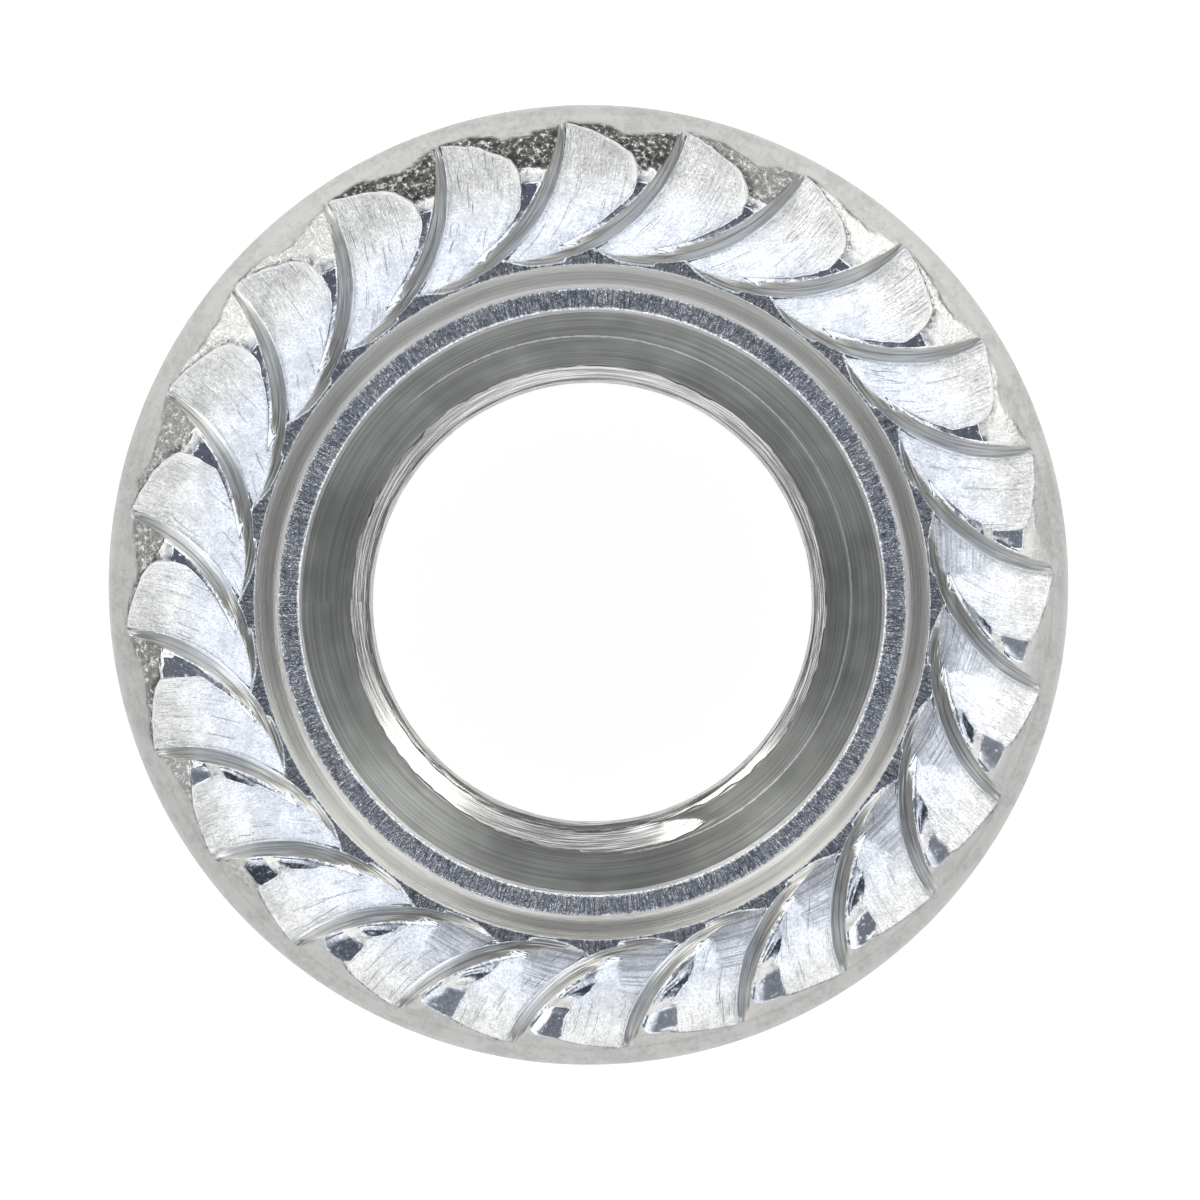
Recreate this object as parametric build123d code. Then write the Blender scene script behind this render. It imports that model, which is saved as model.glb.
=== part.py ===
from build123d import *
import os
from math import acos, asin, cos, degrees, radians, sin, sqrt, tan

os.makedirs("parts", exist_ok=True)

# A serrated flange nut, cold-forged in one piece: a hexagon on a round flange, with a ring of
# one-way serrations punched into the bearing face of the flange. The origin is on the axis of
# the bore, at the end face of the hexagon, and +Z runs from the hexagon to the serrations.

# Bore, plain at the minor diameter of an M10 x 1.25 thread
bore_diameter = 8.84
entry_diameter = 11.58
exit_diameter = 10.8
countersink_angle = 90.0

# Hexagon
nut_height = 9.8
width_across_flats = 14.0
hex_corner_radius = 0.35
hex_root_share = 0.21
chamfer_diameter = 13.3
chamfer_angle = 30.0

# Flange
flange_diameter = 19.0
flange_edge_thickness = 1.5
underside_slope = 20.0
underside_lip_chamfer = 0.25
rim_round_radius = 0.5
rim_band_width = 0.32
shoulder_slope = 36.0

# The flange spreads unevenly in the die, so its rim stands off the axis of the bore, the
# hexagon and the punched face, by a share of the flange's overhang past the hexagon's corners.
uneven_spread_x = -0.05
uneven_spread_y = 0.24

# Serrations. Each is a ramp that climbs clockwise from the foot of one steep curved wall to
# the top of the next. A wall and its ramp are turned about one upright axis, the arc centre.
serration_count = 24
serration_height = 0.4
serration_phase = 7.4
arc_radius = 3.25
arc_centre_distance = 10.05
wall_angle = 58.0
wall_foot_easing = 0.1
ramp_length = 1.5

# Rings that the punch leaves between the serrations and the bore
ring_outer_diameter = 13.7
ring_inner_diameter = 13.36
recess_diameter = 12.44
recess_depth = 0.4
recess_fillet = 0.5

# How far a cutting tool stands out beyond the metal that it cuts
tool_overrun = 0.1

ring_level = nut_height - serration_height
recess_level = ring_level - recess_depth
flange_radius = flange_diameter / 2

# The fillet where the flats run into the flange takes a share of the overhang too.
width_across_corners = width_across_flats / cos(radians(30.0))
flange_overhang = (flange_diameter - width_across_corners) / 2
hex_root_radius = hex_root_share * flange_overhang
flange_offset_x = uneven_spread_x * flange_overhang
flange_offset_y = uneven_spread_y * flange_overhang


def turned(outline, turn=360.0):
    """Turns an outline, drawn as radius and height, about the upright axis."""
    return revolve(Plane.XZ * outline, Axis.Z, turn)


def eased(outline, corner, size, operation):
    """Fillets or chamfers the one corner of an outline that lies nearest to a point."""
    nearest = outline.vertices().sort_by_distance((*corner, 0))[0]
    return operation(nearest, size)


def flange():
    """Round flange: level top, sloping shoulder, rounded rim and conical underside."""
    rim_turn = acos((rim_round_radius - rim_band_width) / rim_round_radius)
    rim_level = ring_level - rim_round_radius * sin(rim_turn)
    band_radius = flange_radius - rim_band_width
    top_radius = band_radius - serration_height / tan(radians(shoulder_slope))
    lip_corner = (flange_radius, ring_level - flange_edge_thickness)
    root_level = lip_corner[1] - flange_radius * tan(radians(underside_slope))
    rim_arc = CenterArc(
        (flange_radius - rim_round_radius, rim_level), rim_round_radius, 0, degrees(rim_turn)
    )
    shoulder = Polyline(
        (band_radius, ring_level), (top_radius, nut_height), (0, nut_height), (0, root_level)
    )
    underside = Polyline((0, root_level), lip_corner, (flange_radius, rim_level))
    outline = make_face([*rim_arc.edges(), *shoulder.edges(), *underside.edges()])
    lipped = turned(eased(outline, lip_corner, underside_lip_chamfer, chamfer))
    return Pos(flange_offset_x, flange_offset_y, 0) * lipped


def hexagon():
    """Hexagon with softened corners, chamfered round its free end."""
    section = RegularPolygon(width_across_flats / 2, 6, major_radius=False)
    section = fillet(section.vertices(), hex_corner_radius)
    prism = extrude(section, ring_level - flange_edge_thickness)
    chamfer_rise = flange_radius * tan(radians(chamfer_angle))
    chamfer_cone = Polyline(
        (0, 0),
        (chamfer_diameter / 2, 0),
        (chamfer_diameter / 2 + flange_radius, chamfer_rise),
        (chamfer_diameter / 2 + flange_radius, nut_height + chamfer_rise),
        (0, nut_height + chamfer_rise),
        close=True,
    )
    return prism & turned(make_face(chamfer_cone))


def forging():
    """The nut as it leaves the die, with a fillet where the flats run into the flange."""
    blank = flange() + hexagon()
    root_level = ring_level - flange_edge_thickness
    root_edges = [
        edge
        for edge in blank.edges()
        if edge.center().Z > nut_height / 2
        and edge.center().Z < root_level
        and edge.bounding_box().size.Z < nut_height / 4
        and Vector(edge.center().X, edge.center().Y).length < flange_radius - rim_band_width
    ]
    return fillet(root_edges, hex_root_radius)


def bore_tool():
    """Everything that is round about the bore axis: bore, countersinks, recess and ring."""
    half_angle = tan(radians(countersink_angle / 2))
    bore_radius = bore_diameter / 2
    exit_radius = exit_diameter / 2
    entry_radius = entry_diameter / 2
    exit_depth = (exit_radius - bore_radius) / half_angle
    entry_depth = (entry_radius - bore_radius) / half_angle
    entry_corner = (entry_radius, recess_level)
    recess_corner = (recess_diameter / 2, recess_level)
    ring_corner = (ring_inner_diameter / 2, ring_level)
    outline = make_face(
        Polyline(
            (0, -tool_overrun),
            (exit_radius + tool_overrun * half_angle, -tool_overrun),
            (bore_radius, exit_depth),
            (bore_radius, recess_level - entry_depth),
            entry_corner,
            recess_corner,
            ring_corner,
            (ring_outer_diameter / 2, ring_level),
            (ring_outer_diameter / 2, nut_height + tool_overrun),
            (0, nut_height + tool_overrun),
            close=True,
        )
    )
    return turned(eased(outline, recess_corner, recess_fillet, fillet))


def serration_tool():
    """One tooth of the punch: it clears the space between two walls, down to the ramp."""
    half_pitch = radians(180.0 / serration_count)
    overlap = arc_centre_distance * sin(half_pitch)
    meeting_radius = arc_centre_distance * cos(half_pitch) - sqrt(arc_radius**2 - overlap**2)
    inner_turn = degrees(asin(meeting_radius * sin(half_pitch) / arc_radius))
    rise = serration_height + tool_overrun
    foot = (arc_radius, ring_level)
    outline = make_face(
        Polyline(
            (arc_radius - rise / tan(radians(wall_angle)), ring_level + rise),
            foot,
            (arc_radius + rise * ramp_length / serration_height, ring_level + rise),
            close=True,
        )
    )
    outline = eased(outline, foot, wall_foot_easing, chamfer)
    # The tool runs from where two feet meet beside the ring, out past the rim.
    sector = turned(outline, inner_turn + 90.0)
    sector = Rot(0, 0, 180.0 - inner_turn) * sector
    return Pos(arc_centre_distance, 0, 0) * sector


def flange_nut():
    """The finished nut."""
    nut = forging() - bore_tool()
    tool = serration_tool()
    for place in PolarLocations(0, serration_count, start_angle=serration_phase):
        nut -= place * tool
    return nut


export_step(flange_nut(), "parts/flange_nut.step")
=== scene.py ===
import bpy
import math
import numpy as np
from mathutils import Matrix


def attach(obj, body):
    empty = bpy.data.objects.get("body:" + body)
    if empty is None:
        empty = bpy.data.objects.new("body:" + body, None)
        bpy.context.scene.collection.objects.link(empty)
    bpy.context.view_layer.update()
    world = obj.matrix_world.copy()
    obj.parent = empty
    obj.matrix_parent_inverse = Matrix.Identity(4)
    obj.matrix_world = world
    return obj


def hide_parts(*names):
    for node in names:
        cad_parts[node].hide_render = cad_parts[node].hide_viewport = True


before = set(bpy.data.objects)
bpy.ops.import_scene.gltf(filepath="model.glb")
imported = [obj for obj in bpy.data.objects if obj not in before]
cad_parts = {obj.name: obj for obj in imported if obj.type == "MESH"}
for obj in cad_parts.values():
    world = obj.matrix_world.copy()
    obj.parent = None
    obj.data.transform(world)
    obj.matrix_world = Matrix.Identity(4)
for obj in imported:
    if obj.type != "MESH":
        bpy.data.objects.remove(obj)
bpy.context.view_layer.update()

# ---------------------------------------------------------------------------------------------
# The forged nut: hexagon, flange, serrated bearing face, ring and recess, all in one piece of
# cold-forged steel. The punch leaves smooth ramps and steep curved walls, the untouched blank
# stays mottled, and the flange's shoulder is torn where the metal was drawn. Sizes are in mm.
# ---------------------------------------------------------------------------------------------

ring_level = 9.4
ring_outer = 6.72
across_flats = 14.0
hex_corner = 0.35
chamfer_radius = 6.65
chamfer_slope = math.tan(math.radians(30.0))
exit_radius = 5.4
flange_radius = 9.5
flange_centre = np.array([-0.071, 0.34])
band_radius = 9.18
rim_round = 0.5
edge_bottom = 7.9
lip_inset = 0.2
underside_slope = math.tan(math.radians(20.0))
root_clearance = 0.21
root_out = 0.13
root_drop = 0.45

# The blank's shoulder is an edge round the bore's axis, and it falls to the rim band.
face_edge = 8.5
shoulder_least = 0.2

# Each serration is a ramp that climbs to a crest, a land beside it, and a wall down to the next.
# The foot and the shoulder of a wall are arcs round centres of their own, outside the flange.
teeth = 24
pitch_angle = 2 * math.pi / teeth
first_tooth = math.radians(7.4)
arc_distance = 10.05
foot_arc = 3.25
shoulder_distance = 11.174
shoulder_arc = 4.244
shoulder_lead = math.radians(3.48)
ramp_length = 1.5
ramp_rise = 0.4
ramp_bulge = 0.22
strip_drop = 0.034
hollow_start = 6.97
hollow_run = 0.75
hollow_end = 8.62
hollow_deepest = 0.075
ledge_radius = 8.03

# The walls close up at the ring: their feet are swept, and they open out beyond this radius.
foot_sweep = 0.07
opening_radius = 6.93
closed_steepness = 1.35
floor_radius = 7.1
floor_height = 0.006

chance = np.random.default_rng(24)


def grain(x, y, size, seed):
    """Smooth random waves, from -1 to 1, with features about as wide as size."""
    cells = 64
    table = np.random.default_rng(seed).uniform(-1, 1, (cells, cells))
    u, v = x / size, y / size
    i, j = np.floor(u).astype(int), np.floor(v).astype(int)
    a, b = u - i, v - j
    a, b = a * a * (3 - 2 * a), b * b * (3 - 2 * b)
    i, j, next_i, next_j = i % cells, j % cells, (i + 1) % cells, (j + 1) % cells
    low = table[i, j] * (1 - a) + table[next_i, j] * a
    high = table[i, next_j] * (1 - a) + table[next_i, next_j] * a
    return low * (1 - b) + high * b


def soft_least(a, b, k):
    """The lower of two surfaces, with the edge between them eased."""
    return np.minimum(a, b) - np.maximum(k - np.abs(a - b), 0) ** 2 / (4 * k)


def soft_most(a, b, k):
    """The higher of two surfaces, with the corner between them filled."""
    return np.maximum(a, b) + np.maximum(k - np.abs(a - b), 0) ** 2 / (4 * k)


def rise(value, start, run):
    """0 up to a start and 1 from a run beyond it, eased at both ends."""
    t = np.clip((value - start) / run, 0.0, 1.0)
    return t * t * (3 - 2 * t)


def bell(value, centre, width):
    """1 at a centre, fading on both sides of it."""
    return np.exp(-(((value - centre) / width) ** 2))


def spread(count, first, last):
    """Steps from 0 to 1, close together at an end whose number is small."""
    u = np.arange(count) / count
    return u**3 * (first + last - 2) + u**2 * (3 - 2 * first - last) + u * first


def near(angle, other):
    """The same angle, within half a turn of another."""
    return other + (angle - other + math.pi) % (2 * math.pi) - math.pi


def away(x, y, centre):
    """Distance from a centre, or from each point's own centre."""
    return np.hypot(x - centre[..., 0], y - centre[..., 1])


def arc_azimuth(centre, radius, towards, arc):
    """Where a circle about centre meets the clockwise side of the arc about towards."""
    apart = towards - centre
    d = np.hypot(*apart)
    cosine = (d**2 + radius**2 - arc**2) / (2 * d * radius)
    return math.atan2(apart[1], apart[0]) - math.acos(min(1.0, max(-1.0, cosine)))


# Every row has the same columns, so many to a wall, to a land and to a ramp.
wall_steps = 7
land_steps = 6
ramp_steps = 15
tooth_steps = wall_steps + land_steps + ramp_steps
columns = teeth * tooth_steps
even = first_tooth - pitch_angle / 2 + np.arange(columns) * 2 * math.pi / columns
tooth = np.arange(columns) // tooth_steps
step = np.arange(columns) % tooth_steps
top_columns = np.arange(teeth) * tooth_steps + wall_steps

# Small differences from tooth to tooth.
tooth_turn = np.radians(chance.uniform(-0.25, 0.25, teeth))
tooth_ramp = chance.uniform(0.93, 1.07, teeth)


def round_nut(places, shares):
    """A share for each tooth, between the shares at a few of them."""
    return np.interp(np.arange(teeth), places, shares)


# Round the nut: where the shoulder is drawn clean, torn or torn and pitted, and where the punch
# left hollows of the untouched blank beside the crest.
torn_teeth = round_nut([0, 2, 4, 15, 17, 23], [0.1, 0.5, 1, 1, 0.15, 0.05])
pitted_teeth = round_nut(
    [3, 4, 5, 6, 7, 9, 10, 11, 12, 14, 16, 18],
    [0.1, 0.2, 0.15, 0.75, 1, 1, 0.35, 0.25, 0.7, 0.8, 0.5, 0],
)
hollow_teeth = round_nut([0, 2, 3, 13, 16, 19, 22, 23], [0.6, 0.3, 0, 0, 0.5, 1, 1, 0.85])
hollow_teeth = hollow_teeth * chance.uniform(0.8, 1.15, teeth)
ledge_teeth = ledge_radius + chance.uniform(-0.12, 0.1, teeth)
hollow_slant = chance.uniform(0.0, 0.4, teeth)
hollow_dirt = chance.uniform(0.0, 1.0, teeth) ** 1.5


def on_tooth(k, distance, lead=0.0):
    """A place at a distance from the bore's axis, on the line of a tooth or ahead of it."""
    turned = first_tooth + k * pitch_angle + tooth_turn[k % teeth] + lead
    return distance * np.array([math.cos(turned), math.sin(turned)])


def arc_centre(k):
    """The centre that a wall's foot and the ramp above it turn about."""
    return on_tooth(k, arc_distance)


def shoulder_centre(k):
    """The centre that a wall's shoulder turns about."""
    return on_tooth(k, shoulder_distance, shoulder_lead)


def ramp_height(past_foot, k):
    """How high a ramp has climbed so far past its foot."""
    t = past_foot / (ramp_length * tooth_ramp[k])
    return ramp_rise * ((1 + ramp_bulge) * t - ramp_bulge * t**2)


def ramp_reach(height, k):
    """How far past its foot a ramp has climbed to a height."""
    square = (1 + ramp_bulge) ** 2 - 4 * ramp_bulge * height / ramp_rise
    t = (1 + ramp_bulge - math.sqrt(max(square, 0.0))) / (2 * ramp_bulge)
    return t * ramp_length * tooth_ramp[k]


def hollow_depth(radius, k):
    """A level hollow beside the crest, with a raised ledge across it, by distance from the axis."""
    ledge = 1 - 0.4 * bell(radius, ledge_teeth[k], 0.1)
    deepening = np.clip((radius - hollow_start) / hollow_run, 0, 1)
    return hollow_teeth[k] * hollow_deepest * deepening * ledge * (1 - rise(radius, hollow_end, 0.14))


def tooth_azimuths(radius, centre, k):
    """Azimuths of one tooth's columns in a row, with a column on each of its edges."""
    mid = first_tooth + (k - 1) * pitch_angle
    least_turn = math.radians(2.5)
    least_step = 0.006
    from_bore = radius + centre @ [math.cos(mid), math.sin(mid)]
    crest_reach = ramp_reach(ramp_rise - hollow_depth(from_bore, k), k)
    edges = [
        arc_azimuth(centre, radius, arc_centre(k - 1), foot_arc),
        arc_azimuth(centre, radius, shoulder_centre(k - 1), shoulder_arc),
        arc_azimuth(centre, radius, arc_centre(k), foot_arc + crest_reach),
        arc_azimuth(centre, radius, arc_centre(k), foot_arc),
    ]
    foot, top, climb, end = (near(edge, mid) for edge in edges)
    foot = min(foot, mid - least_turn)
    end = min(end, mid + pitch_angle - least_turn)
    top = max(top, foot + least_step)
    climb = max(climb, top + least_step)
    on_wall = foot + (top - foot) * spread(wall_steps, 1, 1)
    on_land = top + (climb - top) * spread(land_steps, 1, 1)
    on_ramp = climb + (end - climb) * spread(ramp_steps, 0.5, 0.35)
    return np.concatenate([on_wall, on_land, on_ramp])


# What the material reads: how far each of four surfaces stands above the lowest one, how torn
# and pitted the metal is, how far up a wall it lies, whether it is in the recess, how hard its
# tooth was sheared, how smooth the die drew it, and how far wear and a painted highlight lighten
# it or, below 0, painted shade darkens it.
mark_names = (
    "above_ramp", "above_wall", "above_land", "above_shoulder", "torn", "pitted", "climbed",
    "recess", "sheared", "drawn", "exposed",
)


def row_marks(**given):
    """The marks of a row, which its material reads. A mark that isn't given is 0."""
    return np.stack([np.broadcast_to(given.get(name, 0.0), columns) for name in mark_names], 1)


# Rows of the punched face run from the ring to the rim band, closest beside the ring and where
# the shoulder may be torn.
torn_from = 8.3
face_radii = np.concatenate(
    [
        np.linspace(ring_outer, floor_radius, 19)[:-1],
        np.linspace(floor_radius, torn_from, 29)[:-1],
        np.linspace(torn_from, band_radius, 30),
    ]
)
own_centre = np.array([arc_centre(k) for k in range(teeth)])[tooth]
centre_below = np.array([arc_centre(k - 1) for k in range(teeth)])[tooth]
shoulder_below = np.array([shoulder_centre(k - 1) for k in range(teeth)])[tooth]
rows = []
marks = []
least_climb = 0.012
out_of_sight = 0.02
for radius in face_radii:
    # Beside the ring a row goes round the bore's axis, and at the rim round the flange's centre.
    centre = flange_centre * rise(radius, 7.2, 1.2)
    azimuth = np.concatenate([tooth_azimuths(radius, centre, k) for k in range(teeth)])
    x = centre[0] + radius * np.cos(azimuth)
    y = centre[1] + radius * np.sin(azimuth)
    from_bore = np.hypot(x, y)
    to_rim = band_radius - away(x, y, flange_centre)
    swept = foot_arc + foot_sweep * (1 - rise(radius, ring_outer, 0.24))
    past_foot = away(x, y, own_centre) - swept
    behind_foot = swept - away(x, y, centre_below)
    past_shoulder = shoulder_arc - away(x, y, shoulder_below)

    # The shoulder of the blank falls to the rim band. Where it is torn it is ragged.
    ragged = 0.3 * grain(x, y, 0.07, 7) + 0.5 * grain(x, y, 0.17, 8)
    ragged = ragged * (0.004 + 0.034 * torn_teeth[tooth]) + 0.012 * grain(x, y, 0.4, 12)
    shoulder_width = np.maximum(to_rim + from_bore - face_edge, shoulder_least)
    shoulder_width = shoulder_width + 0.15 * (1 - rise(past_shoulder, 0, 0.8))
    inward = np.clip(1 - to_rim / shoulder_width, 0, 1)
    cone = ramp_rise * (1 - inward**2.5) + ragged * rise(to_rim, 0, 0.12) * inward
    # Inward of its edge it carries on upward, clear of the other surfaces.
    cone = cone + 0.2 * np.maximum(to_rim - shoulder_width, 0)

    # The ramp climbs from its foot, which stands off a little where two teeth meet at the ring.
    past_ramp = past_foot - foot_sweep * (1 - rise(radius, 6.88, 0.42))
    ramp = ramp_height(past_ramp, tooth) + 0.006 * grain(x, y, 0.5, 3) + 0.002 * grain(x, y, 0.15, 4)

    # The land is the blank between the crest and the shoulder of the wall, with the hollow in it.
    strip = ramp[top_columns] - strip_drop
    land = np.clip(strip, least_climb, ramp_rise)[tooth]
    land = land + (ramp_rise - land) * (1 - rise(radius, opening_radius, 0.15))
    strayed = from_bore + 0.05 * grain(x, y, 0.3, 14) + hollow_slant[tooth] * (past_shoulder - 0.3)
    hollow_edge = 0.06 + 0.14 * (1 - rise(strayed, 7.45, 0.4)) + 0.08 * rise(strayed, 8.1, 0.1)
    inside_hollow = rise(past_shoulder + 0.03 * grain(x, y, 0.3, 15), 0.04, hollow_edge)
    deep = hollow_depth(strayed, tooth) * inside_hollow
    land = land - deep + 0.0025 * grain(x, y, 0.14, 5)

    # The wall climbs from its foot to that shoulder, over a small groove halfway up.
    width = np.maximum(behind_foot[top_columns], 0.03)
    crest = np.maximum(np.minimum(np.minimum(strip, ramp_rise), cone[top_columns]), least_climb)
    opened = rise(radius, opening_radius, 0.3)
    steepness = crest / width * opened + closed_steepness * (1 - opened)
    climbed = np.clip(behind_foot / np.maximum(width[tooth], 0.12), 0, 1)
    easing = 0.01 + 0.08 * rise(radius, 7.0, 0.5)
    wall = soft_most(behind_foot * steepness[tooth], 0.0, easing)
    wall = wall - 0.012 * bell(climbed, 0.5, 0.12) * rise(radius, 7.0, 0.3)
    ramp = soft_most(ramp, -past_foot * np.roll(steepness, -1)[tooth], easing)
    levels = np.stack([np.maximum(ramp, 0), np.maximum(wall, 0), land, cone])
    punched = soft_least(levels[0], levels[1], 0.008)
    height = np.maximum(soft_least(punched, soft_least(land, cone, 0.03), 0.012), 0.0)

    # A burr stands along the torn edge of each ramp, and a finer one along its crest.
    above = levels - levels.min(0)
    share = np.exp(-above / 0.008)
    share /= share.sum(0)
    torn_burr = (share[0] + share[1]) * share[3] * (1.2 + grain(x, y, 0.1, 11)) * torn_teeth[tooth]
    height += 0.02 * torn_burr + 0.007 * share[0] * share[2]
    rows.append(np.stack([x, y, ring_level + height], 1))

    # What lies level with the ring counts as land, and the ledge counts as torn shoulder.
    on_floor = height < floor_height
    between_feet = on_floor & (behind_foot < 0.004) & (radius < floor_radius)
    above[0] = np.where(on_floor, out_of_sight, above[0])
    above[1] = np.where(between_feet, out_of_sight, above[1])
    above[2] = np.where(on_floor, 0, above[2])
    on_ledge = (np.abs(strayed - ledge_teeth[tooth]) < 0.12) & (above[2] < 0.004)
    on_ledge = on_ledge & (hollow_teeth[tooth] > 0.2)
    above[2] = np.where(on_ledge, out_of_sight, above[2])
    above[3] = np.where(on_ledge, 0.0, above[3])

    # The tear ends in scallops, with pits along its edge. The blank in the hollows is pitted too.
    scallop = 0.02 + 0.05 * grain(x, y, 0.22, 16)
    scallop += 0.2 * np.sin(math.pi * (np.clip(past_shoulder / 1.6, 0, 1) * 0.8 + 0.12)) ** 2
    torn = torn_teeth[tooth] * (to_rim < 1.2) * rise(to_rim, scallop, 0.04)
    torn = np.where(on_ledge, 0.3 + 0.5 * hollow_dirt[tooth], torn)
    edge_pits = bell(to_rim, scallop, 0.06) * (0.6 + grain(x, y, 0.3, 17))
    outer_dirt = np.where(strayed > ledge_teeth[tooth], 0.15 + 0.85 * hollow_dirt[tooth], 1.0)
    hollow_pits = np.clip(deep / 0.022, 0, 1) * outer_dirt
    pitted = np.clip(np.maximum(pitted_teeth[tooth], edge_pits), 0, 1)
    pitted = np.where(above[2] < 0.01, hollow_pits, pitted)
    marks.append(
        row_marks(
            above_ramp=above[0],
            above_wall=above[1],
            above_land=above[2],
            above_shoulder=above[3],
            torn=torn,
            pitted=np.where(on_ledge, 0, pitted),
            climbed=np.where(step < wall_steps, climbed, np.clip(1 - (step - wall_steps) / 2, 0, 1)),
            recess=between_feet,
            sheared=torn_teeth[tooth],
        )
    )


def row_at(azimuth, radius, level, centre=(0, 0)):
    """Points of a row, at a radius and a level for each azimuth about a centre."""
    x = centre[0] + radius * np.cos(azimuth)
    y = centre[1] + radius * np.sin(azimuth)
    return np.stack([x, y, np.broadcast_to(level, x.shape)], 1)


# Inward of the face: the flat ring, the step down and the recess floor, to just inside the edge
# of the countersink. Each point has its radius, its level and how much the metal slopes there.
inner_azimuth = near(np.arctan2(rows[0][:, 1], rows[0][:, 0]), even)
inner_profile = [
    (6.7, 9.4, 0), (6.687, 9.4, 0.1), (6.675, 9.396, 0.7), (6.66, 9.386, 1), (6.63, 9.364, 1),
    (6.59, 9.333, 1), (6.54, 9.291, 1), (6.48, 9.23, 1), (6.42, 9.163, 1), (6.37, 9.108, 1),
    (6.32, 9.062, 1), (6.27, 9.026, 1), (6.22, 9.006, 0.6), (6.17, 9.0, 0), (6.06, 9.0, 0),
    (5.94, 9.0, 0), (5.86, 9.0, 0), (5.83, 8.998, 0), (5.8, 8.99, 0.5), (5.775, 8.975, 0.9),
    (5.74, 8.95, 1),
]
step_radius = 6.5
inner_rows = []
inner_marks = []
for n, (radius, level, sloped) in enumerate(inner_profile):
    left = len(inner_profile) - n - 1
    azimuth = even + (inner_azimuth - even) * (left / len(inner_profile)) ** 2
    # The last row is the seam with the bore, and stays round and level.
    uneven = 0.001 if left else 0
    around = azimuth * step_radius
    wobble = 6 * uneven * grain(around, np.full(columns, radius), 0.35, 9) * sloped
    dented = 3 * uneven * grain(around, np.full(columns, radius), 0.2, 13) * (1 - sloped)
    inner_rows.append(row_at(azimuth, radius + wobble, level + dented))
    inner_marks.append(
        row_marks(above_ramp=1, above_wall=1, above_land=sloped, above_shoulder=1 - sloped, recess=1)
    )

outer_rows = []
outer_marks = []


def add_outer(points, drawn=0.0, exposed=0.0):
    """A row of the outside: how smooth the die drew it, and how far wear and a painted highlight lighten
    it or, below 0, painted shade darkens it.
    """
    outer_rows.append(points)
    outer_marks.append(row_marks(above_ramp=1, above_wall=1, above_land=1, drawn=drawn, exposed=exposed))


# Outward: the rolled rim and the lip.
last_row = rows[-1]
rim_azimuth = np.arctan2(last_row[:, 1] - flange_centre[1], last_row[:, 0] - flange_centre[0])
rim_azimuth = near(rim_azimuth, even)
start_turn = math.acos((rim_round - (flange_radius - band_radius)) / rim_round)
for n, turn in enumerate(np.linspace(start_turn, 0, 10)[1:]):
    azimuth = even + (rim_azimuth - even) * (1 - (n + 1) / 14)
    level = ring_level - rim_round * (math.sin(start_turn) - math.sin(turn))
    add_outer(row_at(azimuth, flange_radius - rim_round * (1 - math.cos(turn)), level, flange_centre))
# The lip's edge is lighter: wear with a painted highlight.
lip_profile = [(0, 8.5, 0), (0, 8.18, 0.1), (0.01, 8.1, 0.8), (0.08, 8.0, 1), (lip_inset, 7.87, 0.3)]
for inset, level, worn_and_lit in lip_profile:
    add_outer(row_at(even, flange_radius - inset, level, flange_centre), exposed=worn_and_lit)

# The hexagon has rounded corners, and one of them is on +X.
half_corner = math.pi / 6
corner_turn = (even + half_corner) % (2 * half_corner) - half_corner
flat_reach = across_flats / 2 / np.cos(half_corner - np.abs(corner_turn))
corner_at = (across_flats / 2 - hex_corner) / math.cos(half_corner)
off_corner = corner_at * np.sin(corner_turn)
round_reach = corner_at * np.cos(corner_turn)
round_reach = round_reach + np.sqrt(np.maximum(hex_corner**2 - off_corner**2, 0))
round_turn = math.atan2(
    hex_corner * math.sin(half_corner), corner_at + hex_corner * math.cos(half_corner)
)
in_round = np.abs(corner_turn) < round_turn
hex_reach = np.where(in_round, np.minimum(round_reach, flat_reach), flat_reach)

# The conical underside runs in to the root, where it turns down into the hexagon.
lip_row = row_at(even, flange_radius - lip_inset, 0, flange_centre)
root_row = row_at(even, hex_reach + root_clearance, 0)
# The underside is darkened towards the root with painted shade.
for share in (0.25, 0.5, 0.75, 1.0):
    points = (1 - share) * lip_row + share * root_row
    inward = flange_radius - away(points[:, 0], points[:, 1], flange_centre)
    points[:, 2] = edge_bottom - inward * underside_slope
    add_outer(points, drawn=share, exposed=-(share**3))
root_level = points[:, 2]
# Painted shade darkens the root where it turns down under the flange.
for drop, out in ((0.06, root_out), (0.16, 0.05), (0.3, 0.01), (root_drop, 0.0)):
    add_outer(row_at(even, hex_reach + out, root_level - drop), drawn=1.0, exposed=-out / root_out)

# The flats run down to the chamfer. Corners and edges are worn, and lighter with a painted highlight.
flat_top = root_level - root_drop
flat_bottom = np.maximum((hex_reach - chamfer_radius) * chamfer_slope, 0) + 0.02
corner_wear_and_highlight = 0.65 * bell(corner_turn, 0, 0.03)
for share in (0.15, 0.3, 0.45, 0.6, 0.75, 0.88, 0.985, 1.0):
    level = (1 - share) * flat_top + share * flat_bottom
    worn_and_lit = np.maximum(corner_wear_and_highlight, 0.5 * (share == 1))
    add_outer(row_at(even, hex_reach, level), drawn=1.0, exposed=worn_and_lit)
for share in (0.1, 0.5, 0.9):
    reach = hex_reach + (chamfer_radius - hex_reach) * share
    level = np.maximum((reach - chamfer_radius) * chamfer_slope, 0)
    add_outer(row_at(even, reach, level), drawn=1.0)
# The chamfer's edges are lighter: wear with a painted highlight.
for radius, worn_and_lit in ((6.6, 0.5), (6.2, 0), (5.8, 0), (5.45, 0), (exit_radius, 0.5)):
    add_outer(row_at(even, radius, 0.0), drawn=1.0, exposed=worn_and_lit)

points = np.concatenate(inner_rows[::-1] + rows + outer_rows)
all_marks = np.concatenate(inner_marks[::-1] + marks + outer_marks)


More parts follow.
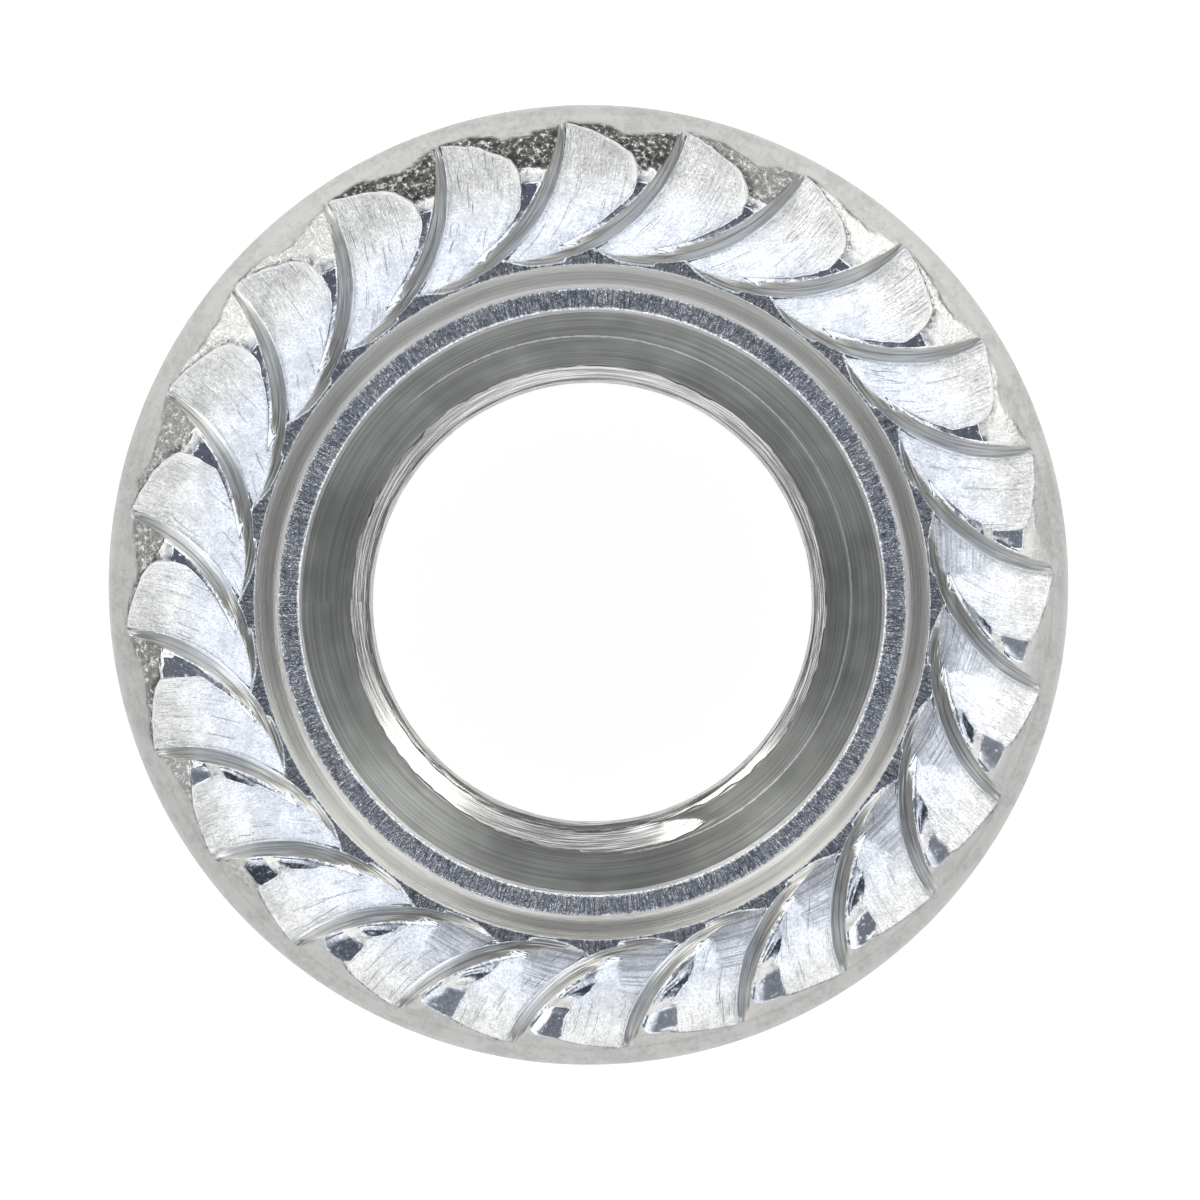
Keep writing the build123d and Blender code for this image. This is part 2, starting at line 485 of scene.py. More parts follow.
def band_faces(count, row_length):
    """Corners of the four-sided faces between rows of points that close into rounds."""
    r, c = np.meshgrid(np.arange(count // row_length - 1), np.arange(row_length), indexing="ij")
    here, after = r * row_length + c, r * row_length + (c + 1) % row_length
    return np.stack([here, here + row_length, after + row_length, after], -1).reshape(-1, 4)


def skin(name, points, row_length, names, values):
    """The metal's skin through rows of points in mm, with named values that its material reads."""
    faces = band_faces(len(points), row_length)
    mesh = bpy.data.meshes.new(name)
    mesh.vertices.add(len(points))
    mesh.vertices.foreach_set("co", (points / 1000).astype(np.float32).ravel())
    mesh.loops.add(faces.size)
    mesh.loops.foreach_set("vertex_index", faces.ravel().astype(np.int32))
    mesh.polygons.add(len(faces))
    mesh.polygons.foreach_set("loop_start", np.arange(0, faces.size, 4, dtype=np.int32))
    mesh.polygons.foreach_set("use_smooth", np.ones(len(faces), bool))
    mesh.update(calc_edges=True)
    mesh.validate()
    for label, column in zip(names, values.T):
        layer = mesh.attributes.new(label, "FLOAT", "POINT")
        layer.data.foreach_set("value", column.astype(np.float32))
    thing = bpy.data.objects.new(name, mesh)
    bpy.context.scene.collection.objects.link(thing)
    return thing


nut = skin("flange_nut_forging", points, columns, mark_names, all_marks)

# Each corner of a face keeps its place on its own punch tooth: along the wall, and away from it.
# The places of two teeth lie so far apart that no two teeth look alike.
tooth_apart = 7.0
nut_faces = band_faces(len(points), columns)
tooth_of = nut_faces[:, 0] % columns // tooth_steps - (nut_faces[:, 0] % tooth_steps < wall_steps)
corners = points[nut_faces]
centres = np.array([arc_centre(k) for k in range(teeth)])[tooth_of]
dx, dy = corners[..., 0] - centres[:, None, 0], corners[..., 1] - centres[:, None, 1]
turned = (np.arctan2(dy, dx) - (first_tooth + tooth_of * pitch_angle)[:, None]) % (2 * math.pi)
path = np.stack([turned * foot_arc + tooth_apart * tooth_of[:, None], np.hypot(dx, dy) - foot_arc], -1)
layer = nut.data.uv_layers.new(name="punch_path")
layer.data.foreach_set("uv", path.astype(np.float32).ravel())


def node_group(name, inputs, outputs):
    """A node group, by the name, kind and value of its inputs and the name and kind of its outputs."""
    group = bpy.data.node_groups.new(name, "ShaderNodeTree")
    for label, kind, value in inputs:
        socket = group.interface.new_socket(label, in_out="INPUT", socket_type=kind)
        if value is not None:
            socket.default_value = value
    for label, kind in outputs:
        group.interface.new_socket(label, in_out="OUTPUT", socket_type=kind)
    return group, group.nodes.new("NodeGroupInput"), group.nodes.new("NodeGroupOutput")


def add(tree, kind, settings=(), **inputs):
    """A node with its settings, and inputs that are values or other nodes' outputs."""
    node = tree.nodes.new(kind)
    for key, value in dict(settings).items():
        setattr(node, key, value)
    for key, value in inputs.items():
        numbered = key[0] == "_" and key[1:].isdigit()
        socket = node.inputs[int(key[1:]) if numbered else key.replace("_", " ")]
        if isinstance(value, bpy.types.NodeSocket):
            tree.links.new(value, socket)
        else:
            socket.default_value = value
    return node


def math_node(tree, operation, a, b=0.0, c=0.0):
    """One operation on up to three values."""
    return add(tree, "ShaderNodeMath", dict(operation=operation), _0=a, _1=b, _2=c).outputs[0]


def minus(tree, a, b):
    return math_node(tree, "SUBTRACT", a, b)


def times_plus(tree, value, factor, rest):
    """A value times a factor, with the rest added."""
    return math_node(tree, "MULTIPLY_ADD", value, factor, rest)


def fade(tree, value, low, high, out_low=0.0, out_high=1.0):
    """A value that goes from one number to another, eased, as another goes from low to high."""
    settings = dict(interpolation_type="SMOOTHSTEP")
    ends = dict(From_Min=low, From_Max=high, To_Min=out_low, To_Max=out_high)
    return add(tree, "ShaderNodeMapRange", settings, Value=value, **ends).outputs[0]


def mix(tree, share, a, b):
    """Between two values, by a share from 0 to 1."""
    return add(tree, "ShaderNodeMix", dict(data_type="FLOAT"), _0=share, _2=a, _3=b).outputs[0]


def blend(tree, share, a, b):
    """Between two colours, by a share from 0 to 1."""
    a, b = ((*colour, 1) if isinstance(colour, tuple) else colour for colour in (a, b))
    return add(tree, "ShaderNodeMix", dict(data_type="RGBA"), _0=share, _6=a, _7=b).outputs[2]


def shaded(tree, shade, colour):
    """A colour darkened to a shade, which is 0 for black."""
    return blend(tree, shade, (0, 0, 0), colour)


def curve(tree, value, stops):
    """A colour for a value from 0 to 1, between stops that are colours or greys."""
    node = add(tree, "ShaderNodeValToRGB", Fac=value)
    while len(node.color_ramp.elements) < len(stops):
        node.color_ramp.elements.new(0.5)
    for element, (at, _) in zip(node.color_ramp.elements, stops):
        element.position = at
    for element, (_, colour) in zip(node.color_ramp.elements, stops):
        element.color = (*colour, 1) if isinstance(colour, tuple) else (colour, colour, colour, 1)
    return node.outputs[0]


def least(tree, *values):
    low = values[0]
    for value in values[1:]:
        low = math_node(tree, "MINIMUM", low, value)
    return low


def most(tree, *values):
    high = values[0]
    for value in values[1:]:
        high = math_node(tree, "MAXIMUM", high, value)
    return high


def times(tree, *values):
    product = values[0]
    for value in values[1:]:
        product = math_node(tree, "MULTIPLY", product, value)
    return product


# Speckle of a forged and plated skin: soft dents with finer grains among them.
forge_skin, inside, out = node_group(
    "forge_skin",
    [("Place", "NodeSocketVector", None), ("Size", "NodeSocketFloat", 0.08)],
    [("Height", "NodeSocketFloat")],
)
scaled = add(
    forge_skin,
    "ShaderNodeVectorMath",
    dict(operation="DIVIDE"),
    _0=inside.outputs["Place"],
    _1=inside.outputs["Size"],
).outputs[0]
coarse = add(forge_skin, "ShaderNodeTexNoise", Vector=scaled, Scale=1.0, Detail=3.0, Roughness=0.6)
fine = add(forge_skin, "ShaderNodeTexNoise", Vector=scaled, Scale=3.1, Detail=1.0, Roughness=0.6)
both = times_plus(forge_skin, fine.outputs[0], 0.35, coarse.outputs[0])
forge_skin.links.new(both, out.inputs["Height"])

# Fine lines that a turned tool or a drag along a path leaves, long and narrow, and a few deeper
# scratches. They shift with height, so that they don't run straight down a wall.
tool_lines, inside, out = node_group(
    "tool_lines",
    [
        ("Path", "NodeSocketVector", None),
        ("Length", "NodeSocketFloat", 0.6),
        ("Spacing", "NodeSocketFloat", 0.03),
    ],
    [("Height", "NodeSocketFloat"), ("Scratch", "NodeSocketFloat")],
)
split = add(tool_lines, "ShaderNodeSeparateXYZ", Vector=inside.outputs["Path"])
along = math_node(tool_lines, "DIVIDE", split.outputs[0], inside.outputs["Length"])
across = times_plus(tool_lines, split.outputs[2], 0.6, split.outputs[1])
across = math_node(tool_lines, "DIVIDE", across, inside.outputs["Spacing"])
joined = add(tool_lines, "ShaderNodeCombineXYZ", X=along, Y=across, Z=split.outputs[2]).outputs[0]
lines = add(tool_lines, "ShaderNodeTexNoise", Vector=joined, Scale=1.0, Detail=2.0, Roughness=0.55)
deep = add(tool_lines, "ShaderNodeTexNoise", Vector=joined, Scale=0.43, Detail=1.0)
tool_lines.links.new(lines.outputs[0], out.inputs["Height"])
tool_lines.links.new(fade(tool_lines, deep.outputs[0], 0.62, 0.7), out.inputs["Scratch"])

# The place on a round about the bore's axis: along it, at 6 mm out, then out from the axis and up.
round_path, inside, out = node_group(
    "round_path", [("Place", "NodeSocketVector", None)], [("Path", "NodeSocketVector")]
)
split = add(round_path, "ShaderNodeSeparateXYZ", Vector=inside.outputs["Place"])
turn = math_node(round_path, "ARCTAN2", split.outputs[1], split.outputs[0])
flat = add(round_path, "ShaderNodeCombineXYZ", X=split.outputs[0], Y=split.outputs[1]).outputs[0]
reach = add(round_path, "ShaderNodeVectorMath", dict(operation="LENGTH"), _0=flat).outputs["Value"]
along = times(round_path, turn, 6.0)
joined = add(round_path, "ShaderNodeCombineXYZ", X=along, Y=reach, Z=split.outputs[2]).outputs[0]
round_path.links.new(joined, out.inputs["Path"])


def plated(name):
    """A zinc-plated steel material, and where its nodes start: the shader and the place in mm."""
    material = bpy.data.materials.new(name)
    material.use_nodes = True
    tree = material.node_tree
    shader = tree.nodes["Principled BSDF"]
    shader.inputs["Metallic"].default_value = 1.0
    metres = add(tree, "ShaderNodeTexCoord").outputs["Object"]
    place = add(tree, "ShaderNodeVectorMath", dict(operation="SCALE"), _0=metres, Scale=1000.0)
    return material, tree, shader, place.outputs[0]


def use(tree, group, **inputs):
    """A node group placed in a material, with this material's values."""
    return add(tree, "ShaderNodeGroup", dict(node_tree=group), **inputs)


def skin_height(tree, place, size):
    """The relief of a forged skin with dents of a size."""
    return use(tree, forge_skin, Place=place, Size=size).outputs["Height"]


def line_height(tree, path, length, spacing):
    """The relief of tool lines along a path."""
    return use(tree, tool_lines, Path=path, Length=length, Spacing=spacing).outputs["Height"]


def read_marks(tree, names):
    """The marks of the mesh, by name."""
    return {n: add(tree, "ShaderNodeAttribute", dict(attribute_name=n)).outputs["Fac"] for n in names}


def nearest(tree, own, others, blur):
    """1 where own is the lowest of the surfaces, 0 where another is lower."""
    return fade(tree, minus(tree, least(tree, *others), own), -blur, blur)


def beside(tree, first, second, width):
    """1 along the edge where two of the surfaces meet."""
    apart = math_node(tree, "ABSOLUTE", minus(tree, first, second))
    low = math_node(tree, "ADD", apart, least(tree, first, second))
    return fade(tree, low, 0.0, width, 1.0, 0.0)


face_zinc, tree, shader, place = plated("punched_zinc")
mark = read_marks(tree, mark_names)
above = [mark[name] for name in mark_names[:4]]
ramp, wall, land, shoulder = above
on_ramp, on_wall, on_land, on_shoulder = (
    nearest(tree, above[n], above[:n] + above[n + 1 :], blur)
    for n, blur in enumerate((0.003, 0.003, 0.002, 0.006))
)
in_recess = mark["recess"]
on_face = minus(tree, 1.0, in_recess)
on_step = times(tree, on_shoulder, in_recess)
on_tear = times(tree, on_shoulder, mark["torn"])

grit = skin_height(tree, place, 0.035)
speckle = skin_height(tree, place, 0.06)
dents = skin_height(tree, place, 0.1)
clouds = skin_height(tree, place, 0.55)

# Tool lines run along the walls, round the bore's axis, out from it and down the flats.
path = add(tree, "ShaderNodeUVMap", dict(uv_map="punch_path")).outputs[0]
past_foot = add(tree, "ShaderNodeSeparateXYZ", Vector=path).outputs[1]
brush = use(tree, tool_lines, Path=path, Length=0.4, Spacing=0.05)
wall_lines = line_height(tree, path, 1.4, 0.035)
ring_path = use(tree, round_path, Place=place).outputs[0]
punch_rings = line_height(tree, ring_path, 1.0, 0.037)
ring_lines = line_height(tree, ring_path, 2.5, 0.045)
around, from_axis, level = add(tree, "ShaderNodeSeparateXYZ", Vector=ring_path).outputs
radial_path = add(tree, "ShaderNodeCombineXYZ", X=from_axis, Y=around).outputs[0]
radial_lines = line_height(tree, radial_path, 0.3, 0.05)
drawn_path = add(tree, "ShaderNodeCombineXYZ", X=level, Y=around).outputs[0]
drawn_lines = line_height(tree, drawn_path, 2.5, 0.07)

# The ramps are bluish inside and greyer outside, and painted shade darkens their outer part.
# Where the punch sheared less cleanly, its rings show on an inner facet of the ramp, which is
# darkened with painted shade, most towards the ring.
unsheared = fade(tree, mark["sheared"], 0.6, 0.2)
inner_facet = minus(tree, times_plus(tree, from_axis, -0.6, 4.95), past_foot)
inner_facet = times_plus(tree, dents, 0.3, inner_facet)
inner_lines = fade(tree, inner_facet, 0.12, 0.24)
inner_lines = times(tree, inner_lines, fade(tree, from_axis, 8.1, 7.6), unsheared)
# The punch's rings, over painted shade on the inner facet that darkens towards the ring.
ring_lines_and_shade = fade(tree, punch_rings, 0.38, 0.55, 0.56, 0.88)
ring_lines_and_shade = times(tree, ring_lines_and_shade, fade(tree, from_axis, 7.0, 7.5, 0.6, 1.0))
inner_rings_and_shade = mix(tree, inner_lines, 1.0, ring_lines_and_shade)
# Painted shade on the outer part of each ramp.
outer_share = times_plus(tree, mark["sheared"], 0.4, 0.6)
outer_share = times(tree, fade(tree, from_axis, 8.0, 8.8), outer_share)
outer_painted_shade = mix(tree, outer_share, 1.0, 0.87)
ramp_shade = curve(tree, speckle, [(0.48, 0.76), (0.62, 0.88), (0.74, 0.96), (0.86, 1.0)])
cloud_shade = fade(tree, clouds, 0.5, 0.85, 0.8, 1.02)
ramp_shade = times(tree, ramp_shade, cloud_shade, outer_painted_shade, inner_rings_and_shade)
ramp_blue, ramp_grey = (0.87, 0.91, 0.99), (0.95, 0.95, 0.93)
ramp_tone = blend(tree, fade(tree, from_axis, 7.4, 8.6), ramp_blue, ramp_grey)
ramp_tone = shaded(tree, ramp_shade, ramp_tone)

# The walls are darker, with painted shading up them: lighter at the foot, a darker band just
# above it, painted shade darkest in the groove halfway up, and a painted highlight at the crest.
wall_shading_stops = [
    (0.0, (0.6, 0.64, 0.68)),
    (0.1, (0.5, 0.53, 0.55)),
    (0.3, (0.58, 0.6, 0.61)),
    (0.5, (0.58, 0.58, 0.565)),
    (0.57, (0.36, 0.36, 0.35)),
    (0.64, (0.6, 0.59, 0.57)),
    (0.88, (0.6, 0.59, 0.57)),
    (0.97, (0.66, 0.66, 0.64)),
]
wall_shade = fade(tree, wall_lines, 0.32, 0.68, 0.6, 1.2)
wall_tone = shaded(tree, wall_shade, curve(tree, mark["climbed"], wall_shading_stops))

# The land and the recess floor are the blank's own skin: mottled, and dark in the hollows.
land_stops = [(0.5, (0.66, 0.7, 0.76)), (0.7, (0.84, 0.88, 0.94)), (0.88, (1.0, 1.0, 1.0))]
hollow_stops = [(0.5, (0.2, 0.22, 0.26)), (0.7, (0.36, 0.39, 0.44)), (0.86, (0.8, 0.82, 0.86))]
floor_stops = [(0.52, (0.38, 0.41, 0.46)), (0.64, (0.72, 0.75, 0.8)), (0.76, (1.0, 1.0, 1.0))]
land_tone = curve(tree, dents, land_stops)
land_tone = blend(tree, mark["pitted"], land_tone, curve(tree, speckle, hollow_stops))
floor_marks = times_plus(tree, speckle, 0.5, times(tree, radial_lines, 0.6))
floor_marks = times_plus(tree, clouds, 0.3, minus(tree, floor_marks, 0.2))
land_tone = blend(tree, in_recess, land_tone, curve(tree, floor_marks, floor_stops))

# The rim is satin, and the hexagon is drawn smoother. Painted shade darkens the root under the
# flange, and worn edges are lighter with a painted highlight.
satin_grey, drawn_grey = (0.65, 0.645, 0.63), (0.43, 0.43, 0.425)
root_shade_grey, worn_highlight_grey = (0.14, 0.14, 0.13), (0.82, 0.82, 0.81)
satin = fade(tree, dents, 0.45, 0.85, 0.9, 1.04)
satin = times(tree, satin, fade(tree, clouds, 0.5, 0.85, 0.9, 1.06))
satin = mix(tree, times(tree, mark["drawn"], 0.6), satin, 0.97)
drawn_shade = fade(tree, drawn_lines, 0.35, 0.65, 0.88, 1.04)
satin = times(tree, satin, mix(tree, mark["drawn"], 1.0, drawn_shade))
satin_tone = shaded(tree, satin, blend(tree, mark["drawn"], satin_grey, drawn_grey))
# Painted shade in the root, and wear with a painted highlight on edges and corners.
root_painted_shade = times(tree, fade(tree, mark["exposed"], 0, -1), fade(tree, clouds, 0.5, 0.8, 0.5, 1))
edge_wear_and_highlight = times(tree, fade(tree, mark["exposed"], 0.1, 1), fade(tree, dents, 0.5, 0.7, 0.5, 1))
satin_tone = blend(tree, times(tree, root_painted_shade, 0.75), satin_tone, root_shade_grey)
satin_tone = blend(tree, edge_wear_and_highlight, satin_tone, worn_highlight_grey)

# The step into the recess has fine rings. The torn shoulder is bright, or full of dark pits.
step_shade = fade(tree, ring_lines, 0.3, 0.7, 0.55, 0.75)
step_tone = shaded(tree, step_shade, (0.92, 0.92, 0.89))
pit_stops = [(0.5, (0.05, 0.052, 0.05)), (0.7, (0.15, 0.155, 0.14)), (0.84, (0.8, 0.8, 0.78))]
torn_white = (0.97, 0.96, 0.93)
tear_tone = blend(tree, mark["pitted"], torn_white, curve(tree, dents, pit_stops))
tone = blend(tree, on_tear, satin_tone, tear_tone)
tone = blend(tree, on_step, tone, step_tone)
tone = blend(tree, on_ramp, tone, ramp_tone)
tone = blend(tree, on_wall, tone, wall_tone)
tone = blend(tree, on_land, tone, land_tone)

# A burnished line along each torn edge, lit with a painted highlight, and a painted shadow under
# the torn lip. A dark seam runs along the other edges of the ramp, a dark line where a ramp meets
# a wall partway up, and another on the land beside each wall's crest.
untorn = minus(tree, 1.0, mark["torn"])
# A painted highlight along the burnished torn edge.
burnished_highlight = times(tree, beside(tree, ramp, shoulder, 0.05), mark["torn"], on_ramp, on_face)
# A painted shadow under the torn lip.
lip_painted_shadow = times(tree, beside(tree, ramp, shoulder, 0.06), mark["torn"], on_shoulder, on_face)
rim_seam = times(tree, beside(tree, ramp, shoulder, 0.032), untorn, on_face)
crease = times(tree, beside(tree, ramp, wall, 0.012), fade(tree, mark["climbed"], 0.3, 0.6), on_face)
crest_dark_line = times(tree, beside(tree, wall, land, 0.05), on_land, on_face)
crest_dark_line = times(tree, crest_dark_line, fade(tree, from_axis, 6.95, 7.15))
seam_breakup = fade(tree, dents, 0.55, 0.75, 0.9, 0.25)
seam = times(tree, most(tree, rim_seam, lip_painted_shadow, crease, crest_dark_line), seam_breakup)
recess_edge = times(tree, beside(tree, land, shoulder, 1.2), in_recess)
tone = blend(tree, burnished_highlight, tone, (1, 1, 1))
tone = blend(tree, seam, tone, (0.06, 0.06, 0.06))
tone = blend(tree, times(tree, recess_edge, 0.7), tone, (0.2, 0.2, 0.2))
tree.links.new(tone, shader.inputs["Base Color"])

# The blank's skin is bright beside the walls, where the punch never touched it, and mottled.
by_wall = times(tree, fade(tree, wall, 0.09, 0.03), unsheared, on_face)
mottled = fade(tree, times_plus(tree, by_wall, 0.08, dents), 0.78, 0.9)
mottled = times(tree, mottled, on_face)
half_pitted = times(tree, mark["pitted"], minus(tree, 1.0, mark["pitted"]))
land_rough = mix(tree, mottled, times_plus(tree, half_pitted, 0.5, 0.17), 0.5)
rough = mix(tree, mark["drawn"], 0.62, 0.36)
for share, roughness in (
    (edge_wear_and_highlight, 0.25),
    (on_tear, 0.2),
    (on_step, 0.3),
    (on_ramp, 0.26),
    (on_wall, 0.3),
    (on_land, land_rough),
    (burnished_highlight, 0.33),
):
    rough = mix(tree, share, rough, roughness)
tree.links.new(rough, shader.inputs["Roughness"])

# The punch drags most at the outer ends of the clean strokes and at the inner ends of the others.
outer_drag = times(tree, fade(tree, from_axis, 8.1, 8.8), mark["sheared"])
brushing = times_plus(tree, outer_drag, 0.9, 0.3)
ringing = times_plus(tree, inner_lines, 0.8, 0.2)
tearing = times_plus(tree, mark["pitted"], 4.0, 1.0)
relief_depth = 0.00002
relief = 0.0
for share, source, depth in (
    (on_ramp, grit, 0.4),
    (on_ramp, brush.outputs["Height"], brushing),
    (on_ramp, brush.outputs["Scratch"], 0.4),
    (on_ramp, punch_rings, ringing),
    (times(tree, on_land, on_face), dents, 0.2),
    (times(tree, on_land, in_recess), floor_marks, 0.7),
    (on_wall, wall_lines, 0.9),
    (on_step, ring_lines, 0.35),
    (on_tear, dents, tearing),
    (on_shoulder, grit, 0.5),
    (times(tree, on_shoulder, mark["drawn"]), drawn_lines, 0.5),
    (burnished_highlight, grit, 1.0),
):
    relief = times_plus(tree, source, times(tree, share, depth), relief)
bump = add(tree, "ShaderNodeBump", Height=relief, Strength=1.0, Distance=relief_depth)
tree.links.new(bump.outputs[0], shader.inputs["Normal"])
nut.data.materials.append(face_zinc)

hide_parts("flange_nut")
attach(nut, "root")

# ---------------------------------------------------------------------------------------------
# The tapped bore: a turned countersink, then a right-hand M10 x 1.25 thread cut into the same
# metal, with a torn start where the first turn breaks out of the countersink.
# ---------------------------------------------------------------------------------------------

bore_radius = 4.42
entry_radius = 5.79
entry_level = 9.0
countersink_radius = 5
seam_level = inner_profile[-1][1]
threaded_level = 7.1
thread_pitch = 1.25
thread_root = 5.12
thread_start = 7.56
start_azimuth = math.radians(335)
first_turn_rise = 0.72
crest_half = 0.212
groove_half = thread_pitch / 2 - crest_half
flank_slope = math.sqrt(3)


def bore_surfaces(azimuth, level):
    """Distance from the axis to the countersink, the far countersink and the thread."""
    turns = ((azimuth - start_azimuth) / (2 * math.pi)) % 1
    deepest = thread_root - bore_radius
    last_groove = thread_start + thread_pitch * (turns - 1)
    off = np.abs((level - last_groove + thread_pitch / 2) % thread_pitch - thread_pitch / 2)
    cut = np.clip((groove_half - off) * flank_slope, 0, deepest)
    cut = np.where(level < last_groove + thread_pitch / 2, cut, 0)
    # The first turn is rolled flat by the countersink: it climbs slowly and runs out.
    off_first = np.abs(level - thread_start - first_turn_rise * turns**2)
    first_cut = np.clip((groove_half - off_first) * flank_slope, 0, deepest)
    cut = np.maximum(cut, first_cut * (1 - rise(turns, 0.85, 0.13)))
    return np.stack([entry_radius - (entry_level - level), exit_radius - level, bore_radius + cut])


# The bore has half as many columns as the face. Its first row is round, to meet the recess floor.
bore_even = even[::2]
bore_columns = len(bore_even)
around = bore_even * countersink_radius
bore_levels = np.concatenate(
    [np.linspace(seam_level, threaded_level, 82)[:-1], np.linspace(threaded_level, 0.0, 90)]
)
bore_rows = []
bore_marks = []
for level in bore_levels:
    surfaces = bore_surfaces(bore_even, np.full(bore_columns, level))
    torn_depth = 0.025
    if level == seam_level:
        surfaces[2] = bore_radius
        torn_depth = 0
    radius = surfaces.max(0)
    behind = radius - surfaces
    lip = bell(behind[0], 0, 0.05) * bell(behind[2], 0, 0.05)
    fine_tears = grain(around, np.full(bore_columns, level), 0.15, 23)
    torn_lip = 0.4 + fine_tears + 0.8 * grain(around, around, 0.6, 22)
    bore_rows.append(row_at(bore_even, radius - torn_depth * lip * torn_lip, level))
    bore_marks.append(np.stack([behind[0], behind[2]], 1))
bore_mark_names = ("behind_countersink", "behind_thread")
bore = skin(
    "flange_nut_bore",
    np.concatenate(bore_rows[::-1]),
    bore_columns,
    bore_mark_names,
    np.concatenate(bore_marks[::-1]),
)

bore_zinc, tree, shader, place = plated("turned_zinc")
behind_countersink, behind_thread = read_marks(tree, bore_mark_names).values()
on_thread = fade(tree, minus(tree, behind_countersink, behind_thread), -0.01, 0.01)
turned_path = use(tree, round_path, Place=place).outputs[0]
turned_lines = line_height(tree, turned_path, 4.0, 0.06)
cut_lines = line_height(tree, turned_path, 1.2, 0.04)
dents = skin_height(tree, place, 0.12)
# Broad soft patches of painted light and shade vary the countersink's brightness round the bore.
painted_light_patches = skin_height(tree, place, 2.4)
turned_shade = fade(tree, turned_lines, 0.3, 0.7, 0.4, 0.58)
turned_shade = times(tree, turned_shade, fade(tree, painted_light_patches, 0.5, 0.85, 0.88, 1.25))
turned_tone = shaded(tree, turned_shade, (0.97, 1.0, 0.98))

# One scratch runs out along the countersink in a spiral.
scratch_start = 277 / 360
scratch_radius = 5.016
scratch_spread = 0.53
split = add(tree, "ShaderNodeSeparateXYZ", Vector=place)
turn = math_node(tree, "ARCTAN2", split.outputs[1], split.outputs[0])
past = times_plus(tree, turn, 1 / (2 * math.pi), 1 - scratch_start)
past = math_node(tree, "FRACT", past)
from_axis = add(tree, "ShaderNodeSeparateXYZ", Vector=turned_path).outputs[1]
off_line = minus(tree, from_axis, times_plus(tree, past, scratch_spread, scratch_radius))
off_line = times_plus(tree, dents, 0.04, math_node(tree, "ABSOLUTE", off_line))
scratch = fade(tree, off_line, 0.035, 0.05, 1.0, 0.0)
scratch = times(tree, scratch, fade(tree, past, 0.62, 0.58))
turned_tone = blend(tree, scratch, turned_tone, (0.95, 0.96, 0.95))

thread_stops = [(0.35, (0.4, 0.4, 0.39)), (0.5, (0.6, 0.6, 0.585)), (0.65, (0.82, 0.82, 0.8))]
tone = blend(tree, on_thread, turned_tone, curve(tree, cut_lines, thread_stops))
tree.links.new(tone, shader.inputs["Base Color"])
tree.links.new(mix(tree, on_thread, 0.34, 0.22), shader.inputs["Roughness"])
relief = times_plus(tree, cut_lines, times(tree, on_thread, 0.8), times(tree, turned_lines, 0.25))
turned_depth = 0.00001
bump = add(tree, "ShaderNodeBump", Height=relief, Strength=1.0, Distance=turned_depth)
tree.links.new(bump.outputs[0], shader.inputs["Normal"])
bore.data.materials.append(bore_zinc)

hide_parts("flange_nut")
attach(bore, "root")

# ---------------------------------------------------------------------------------------------
# The studio: a plain white floor, an even tent that is dim straight overhead, two soft lamps,
# and a long lens that looks straight down on the bearing face. Sizes are in metres.
# ---------------------------------------------------------------------------------------------

floor_reach = 1.5
floor_level = -0.00001
floor_glow = 0.9
floor_mesh = bpy.data.meshes.new("floor")
floor_corners = [
    (floor_reach * x, floor_reach * y, floor_level) for x, y in ((-1, -1), (1, -1), (1, 1), (-1, 1))
]
floor_mesh.from_pydata(floor_corners, [], [(0, 1, 2, 3)])
floor = bpy.data.objects.new("floor", floor_mesh)
bpy.context.scene.collection.objects.link(floor)
floor_white = bpy.data.materials.new("floor_white")
floor_white.use_nodes = True
tree = floor_white.node_tree
shader = tree.nodes["Principled BSDF"]
shader.inputs["Base Color"].default_value = (0.25, 0.25, 0.25, 1)
shader.inputs["Roughness"].default_value = 0.9
shader.inputs["Specular IOR Level"].default_value = 0.0
shader.inputs["Emission Color"].default_value = (1, 1, 1, 1)
rays = add(tree, "ShaderNodeLightPath").outputs
seen = most(tree, rays["Is Camera Ray"], rays["Is Glossy Ray"], rays["Is Transmission Ray"])
tree.links.new(times(tree, seen, floor_glow), shader.inputs["Emission Strength"])
floor.data.materials.append(floor_white)

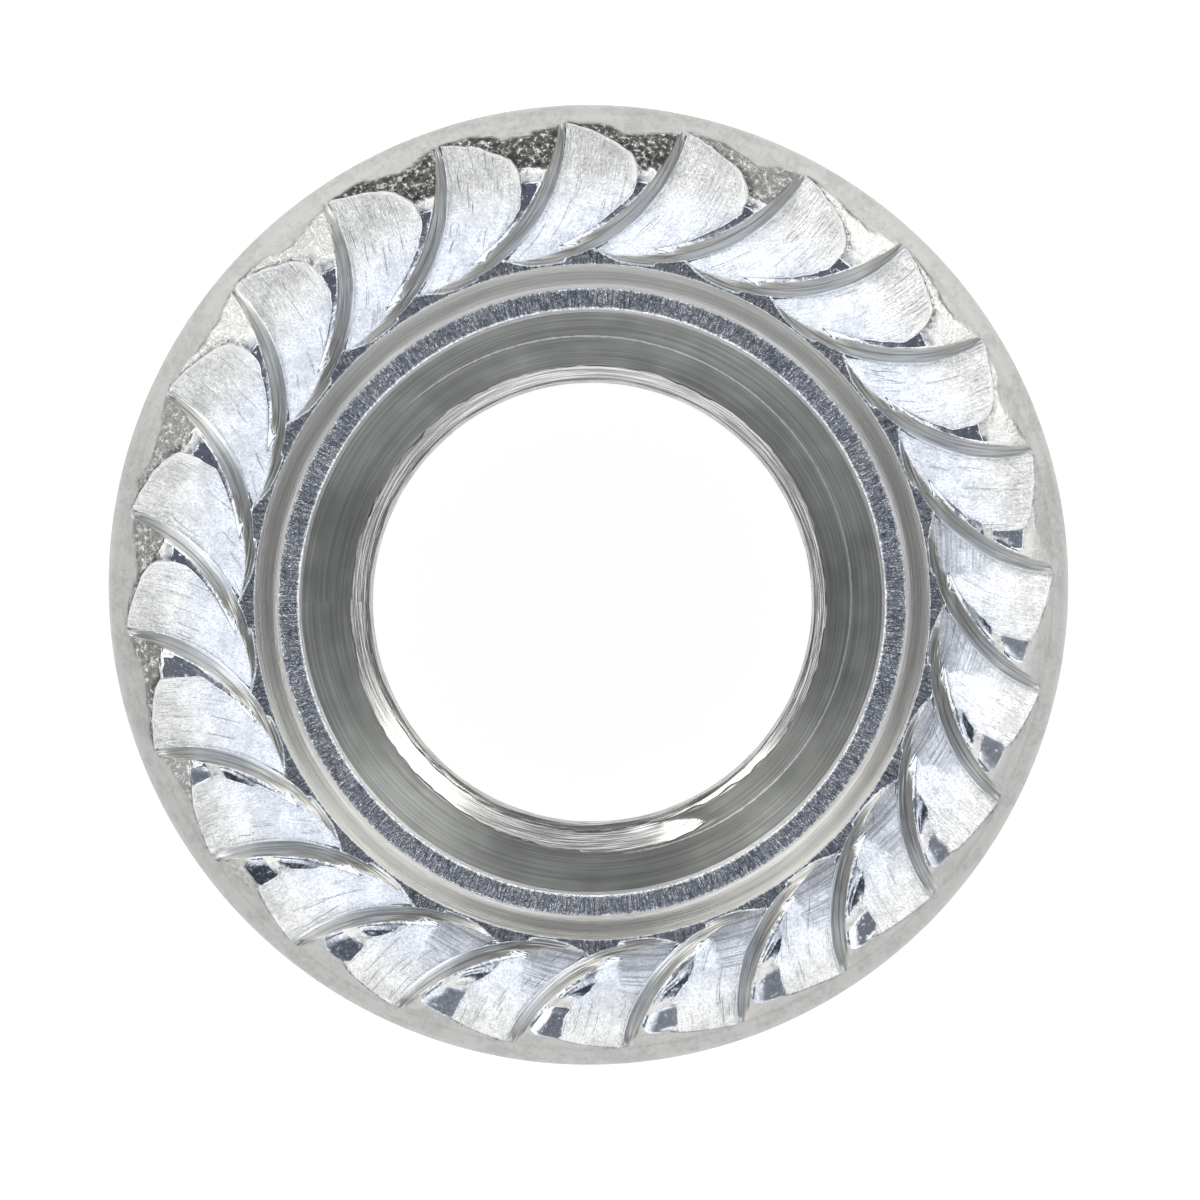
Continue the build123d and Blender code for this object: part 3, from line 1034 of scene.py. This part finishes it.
# The tent is bright in a ring above the nut and dark in its crown. Low down it is dimmer, most of
# all at its sides and its far end.
world = bpy.data.worlds.new("tent")
bpy.context.scene.world = world
world.use_nodes = True
tree = world.node_tree
direction = add(tree, "ShaderNodeTexCoord").outputs["Generated"]
split = add(tree, "ShaderNodeSeparateXYZ", Vector=direction)
along, up = split.outputs[1], split.outputs[2]
tent_stops = [
    (0.7, (1.6, 1.62, 1.66)),
    (0.9, (1.6, 1.62, 1.66)),
    (0.925, (1.0, 1.02, 1.06)),
    (0.95, (0.085, 0.095, 0.12)),
]
glow = fade(tree, math_node(tree, "ABSOLUTE", along), 0.3, 0.85, 0.22, 0.55)
glow = mix(tree, fade(tree, along, 0.72, 0.96), glow, 0.18)
glow = times(tree, glow, fade(tree, along, -0.4, -0.95, 1.0, 1.4))
low_light = add(tree, "ShaderNodeCombineXYZ", X=glow, Y=glow, Z=glow).outputs[0]
light = blend(tree, fade(tree, up, 0.5, 0.74), low_light, curve(tree, up, tent_stops))
tree.links.new(light, tree.nodes["Background"].inputs["Color"])

lamp_distance = 0.35
lamp_elevation = math.radians(27)
for name, azimuth, strength in (("lamp_right", 46, 3.2), ("lamp_left", 129, 3.0)):
    lamp = bpy.data.lights.new(name, "AREA")
    lamp.size = 0.15
    lamp.energy = strength * math.pi * lamp.size**2
    lamp.color = (1.0, 0.98, 0.93)
    thing = bpy.data.objects.new(name, lamp)
    turned = math.radians(azimuth)
    out = lamp_distance * math.cos(lamp_elevation)
    height = lamp_distance * math.sin(lamp_elevation)
    thing.location = (out * math.cos(turned), out * math.sin(turned), height)
    thing.rotation_euler = (math.pi / 2 - lamp_elevation, 0, turned + math.pi / 2)
    bpy.context.scene.collection.objects.link(thing)

view_centre = (0.000158, 0.0000395)
view_width = 0.0237
face_level = 0.0098
camera_distance = 0.4
camera = bpy.data.cameras.new("camera")
camera.sensor_width = 36.0
camera.lens = camera.sensor_width * camera_distance / view_width
camera.clip_start = 0.01
viewer = bpy.data.objects.new("camera", camera)
viewer.location = (*view_centre, face_level + camera_distance)
bpy.context.scene.collection.objects.link(viewer)
bpy.context.scene.camera = viewer
bpy.context.scene.view_settings.view_transform = "Standard"

bpy.context.view_layer.update()
